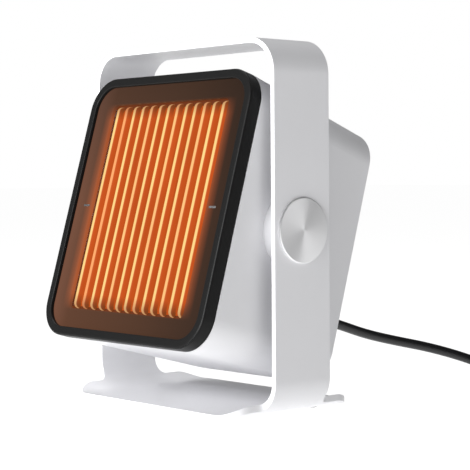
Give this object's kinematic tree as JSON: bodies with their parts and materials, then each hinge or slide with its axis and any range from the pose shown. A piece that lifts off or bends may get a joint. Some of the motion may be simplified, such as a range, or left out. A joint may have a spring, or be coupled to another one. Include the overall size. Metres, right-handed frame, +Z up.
{
  "type": "ceramic fan heater",
  "caption": "Ceramic space heater: a flat box-shaped head with a glowing ribbed outlet, tilting in a loop stand bent from one steel sheet, with a mains lead.",
  "frame": {"origin": "centre of the footprint of the heater without its cord, on the surface that it stands on", "axes": "+Z up; the heater blows towards -Y; +X is to the right of somebody facing the outlet, and the tilt axis is parallel to X"},
  "size_m": [0.3269, 0.4341, 0.292],
  "materials": {
    "white_steel": "white powder coat, satin",
    "white_plastic": "white moulded plastic, fine matt grain",
    "black_plastic": "black moulded plastic, satin",
    "panel_brown": "smoked dark brown plate, warm from the glow",
    "glowing_rib": "hot ribs, yellow to orange glow",
    "glowing_core": "folded fins lit orange-red",
    "ceramic": "unglazed heating ceramic",
    "heatproof_plastic": "filled heat-proof plastic",
    "brushed_aluminium": "spun, with fine circular brushing",
    "steel": "zinc-plated steel",
    "brass": "plain brass",
    "nylon": "natural nylon",
    "rubber_black": "soft black rubber",
    "cord_black": "black PVC cord sheath, semi-matt",
    "board_green": "printed circuit board"
  },
  "bodies": {
    "stand": {"stand_frame": "white_steel", "rubber_feet": "rubber_black", "pivot_stud_left": "steel", "pivot_cap_left": "brushed_aluminium", "spring_washer_left": "steel", "pivot_nut_left": "steel", "pivot_stud_right": "steel", "pivot_cap_right": "brushed_aluminium", "spring_washer_right": "steel", "pivot_nut_right": "steel", "cord_lead": "cord_black", "cord_coil": "cord_black", "cord_tie": "rubber_black", "cord_tail": "cord_black", "plug_body": "cord_black", "plug_pins": "brass"},
    "head": {"pivot_hub_left": "white_plastic", "pivot_hub_right": "white_plastic", "pivot_bush_left": "nylon", "pivot_bush_right": "nylon", "friction_ring_left": "nylon", "friction_ring_right": "nylon", "pivot_bracket_left": "steel", "pivot_bracket_right": "steel", "pivot_screws": "steel", "front_bezel": "black_plastic", "front_panel": "panel_brown", "panel_clips": "steel", "outlet_grille": "glowing_rib", "body_shell": "white_plastic", "rear_cover": "white_plastic", "cover_screws": "steel", "ceramic_bars": "ceramic", "fin_strips": "glowing_core", "element_rails": "heatproof_plastic", "electrode_strips": "brass", "air_duct": "heatproof_plastic", "fan_tube": "heatproof_plastic", "motor_bearings": "brass", "motor_can": "steel", "control_board": "board_green", "board_parts": "black_plastic", "thermal_cutout": "steel", "tip_over_switch": "black_plastic", "terminal_block": "nylon", "cord_clamp": "nylon", "switch_housing": "black_plastic", "strain_relief": "cord_black"},
    "fan": {"impeller": "black_plastic", "motor_shaft": "steel"},
    "rocker": {"power_rocker": "black_plastic"}
  },
  "joints": [
    {"name": "head_tilt", "type": "hinge", "parent": "stand", "child": "head", "pos_m": [0, -0.00381, 0.1441], "axis": [-1, 0, 0], "range_deg": [-26.36, 18.64], "deforming": ["cord_lead"]},
    {"name": "fan_spin", "type": "hinge", "parent": "head", "child": "fan", "pos_m": [0, -0.00381, 0.1441], "axis": [0, 0.9595, -0.2817], "continuous": true},
    {"name": "power_switch", "type": "hinge", "parent": "head", "child": "rocker", "pos_m": [-0.038, 0.05543, 0.07252], "axis": [1, 0, 0], "range_deg": [-16, 0]}
  ]
}
